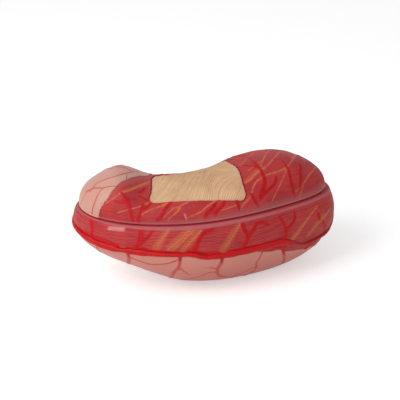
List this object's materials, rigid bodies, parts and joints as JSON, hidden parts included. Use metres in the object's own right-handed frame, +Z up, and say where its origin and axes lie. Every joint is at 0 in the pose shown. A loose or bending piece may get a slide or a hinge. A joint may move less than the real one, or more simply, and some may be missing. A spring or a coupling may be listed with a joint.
{
  "type": "stomach anatomy model",
  "caption": "Life-size stomach model lying on its back, split at a level seam; the front half lifts off its pins to show the folded lining.",
  "frame": {"origin": "on the flat of the underside, below the middle of the body", "axes": "+X from the pyloric end to the fundus, -Y towards the greater curvature, +Z up, the way the front half lifts off"},
  "size_m": [0.2557, 0.1411, 0.1123],
  "materials": {
    "muscle": "painted vinyl, semi-gloss, fine moulded muscle fibres",
    "mucosa": "painted vinyl, semi-gloss, folded",
    "oblique_muscle": "painted vinyl, satin, fine fan of fibres",
    "artery": "gloss red paint",
    "pin_steel": "turned steel",
    "magnet_plating": "nickel plating"
  },
  "bodies": {
    "rear_half": {"rear_muscle_shell": "muscle", "rear_mucosa_lining": "mucosa", "gastroepiploic_artery": "artery", "gastric_artery": "artery", "locating_pin_1": "pin_steel", "locating_pin_2": "pin_steel", "locating_pin_3": "pin_steel", "rear_magnet_1": "magnet_plating", "rear_magnet_2": "magnet_plating", "rear_magnet_3": "magnet_plating"},
    "front_half": {"front_muscle_shell": "muscle", "front_mucosa_lining": "mucosa", "oblique_muscle_panel": "oblique_muscle", "front_magnet_1": "magnet_plating", "front_magnet_2": "magnet_plating", "front_magnet_3": "magnet_plating"}
  },
  "joints": [
    {"name": "front_half_lift", "type": "slide", "parent": "rear_half", "child": "front_half", "axis": [0, 0, 1], "range_m": [0, 0.12]}
  ]
}
